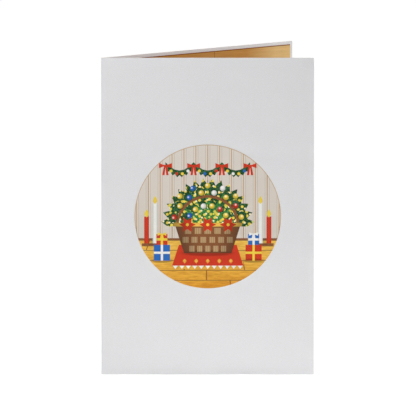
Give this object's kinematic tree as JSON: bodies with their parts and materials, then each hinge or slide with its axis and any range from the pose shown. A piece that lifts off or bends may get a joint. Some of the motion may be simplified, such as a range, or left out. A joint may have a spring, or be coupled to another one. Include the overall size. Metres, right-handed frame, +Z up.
{
  "type": "pop-up card",
  "caption": "Folded white greeting card standing ajar, with a round picture on its front, a printed liner and nested folding paper boxes inside.",
  "frame": {"origin": "middle of the card's footprint, on the surface that its bottom edges stand on", "axes": "+Z up along the fold, -Y out of the front cover, +X from the fold to the front cover's free edge"},
  "size_m": [0.1252, 0.0552, 0.19],
  "materials": {
    "wicker_print": "printed paper, satin",
    "fir_green": "printed paper, satin",
    "white_paper": "plain white paper, matte",
    "bough_green": "printed paper, satin",
    "candle_print": "printed paper, satin",
    "pearl_card": "pearl white card, satin",
    "gift_print": "printed paper, satin",
    "plank_print": "golden plank print, satin",
    "ink_blue": "printed ink, satin",
    "ink_brown": "printed ink, satin",
    "ink_cream": "printed ink, satin",
    "ink_gold": "printed ink, satin",
    "ink_green": "printed ink, satin",
    "ink_leaf": "printed ink, satin",
    "ink_red": "printed ink, satin",
    "ink_tan": "printed ink, satin",
    "ink_white": "printed ink, satin",
    "ink_yellow": "printed ink, satin",
    "star_gold": "printed paper, satin",
    "table_red": "printed paper, satin"
  },
  "bodies": {
    "root": {"basket_box": "wicker_print", "basket_greens_back": "fir_green", "basket_greens_front": "fir_green", "basket_web": "white_paper", "bough_link_back_lower": "white_paper", "bough_link_back_upper": "white_paper", "bough_link_front_lower": "white_paper", "bough_link_front_upper": "white_paper", "bough_row_back": "bough_green", "bough_row_front": "bough_green", "candle_link_back_lower": "white_paper", "candle_link_back_upper": "white_paper", "candle_link_front_lower": "white_paper", "candle_link_front_upper": "white_paper", "candle_row_back": "candle_print", "candle_row_front": "candle_print", "cover": "pearl_card", "gift_box": "gift_print", "gift_web": "white_paper", "liner": "plank_print", "print_blue": "ink_blue", "print_brown": "ink_brown", "print_cream": "ink_cream", "print_gold": "ink_gold", "print_green": "ink_green", "print_leaf": "ink_leaf", "print_red": "ink_red", "print_tan": "ink_tan", "print_white": "ink_white", "print_yellow": "ink_yellow", "star": "star_gold", "table_box": "table_red", "table_web": "white_paper"}
  },
  "joints": []
}
